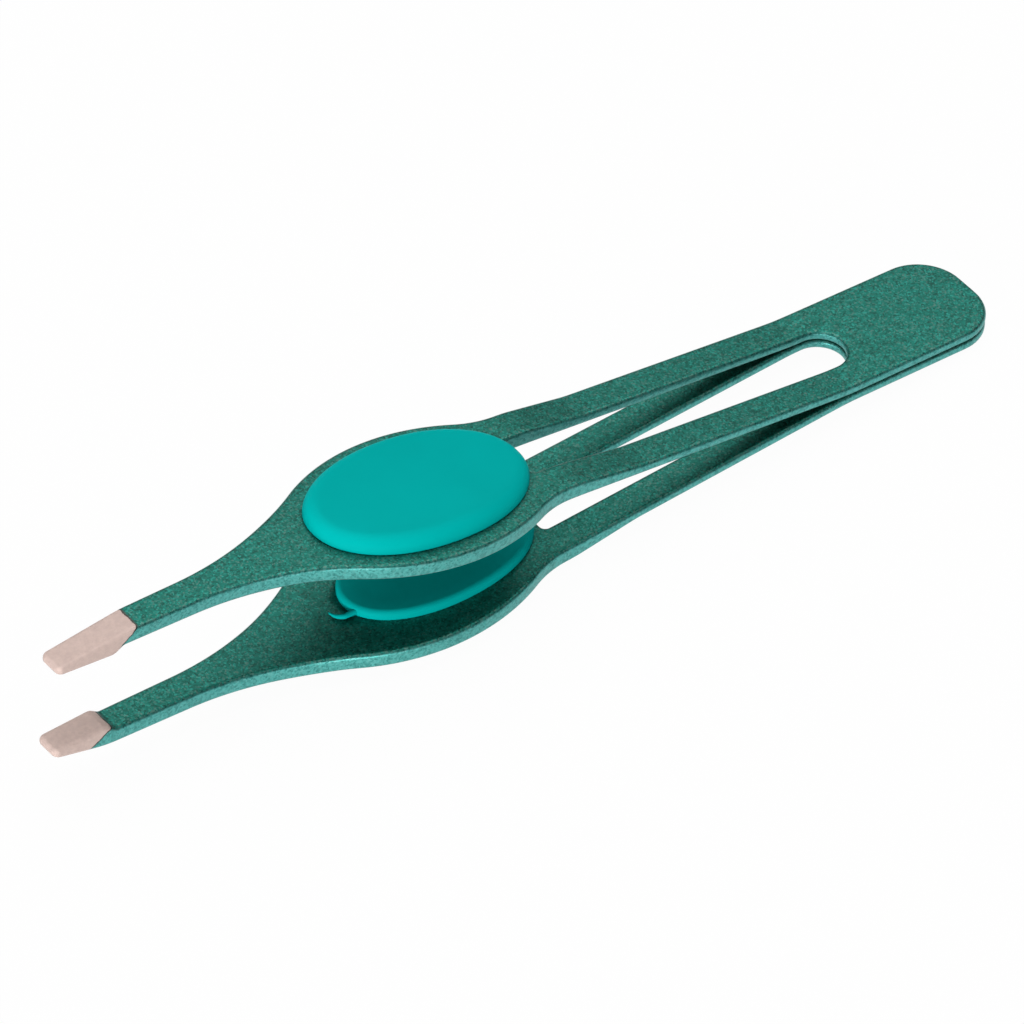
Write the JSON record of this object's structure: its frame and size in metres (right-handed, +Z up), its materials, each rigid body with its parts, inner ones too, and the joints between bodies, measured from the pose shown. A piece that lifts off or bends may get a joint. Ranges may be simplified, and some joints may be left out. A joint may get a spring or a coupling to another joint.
{
  "type": "straight tip tweezers",
  "caption": "Straight-tip hand tweezers with slotted spring legs joined at the head, soft oval finger pads set through the arms, and ground jaws cut straight across.",
  "frame": {"origin": "centre of the bounding box's bottom face: the tweezers lie on the lower pad and the head's underside", "axes": "+X along the tweezers from the jaws towards the head, +Y across, +Z up through both arms"},
  "size_m": [0.096, 0.0162, 0.0149],
  "materials": {
    "coated_steel": "fine metallic teal-green coat with grey flecks; the jaws are ground bare steel",
    "soft_grip": "satin teal silicone"
  },
  "bodies": {
    "root": {"upper_arm": "coated_steel", "lower_arm": "coated_steel", "upper_grip": "soft_grip", "lower_grip": "soft_grip"}
  },
  "joints": []
}
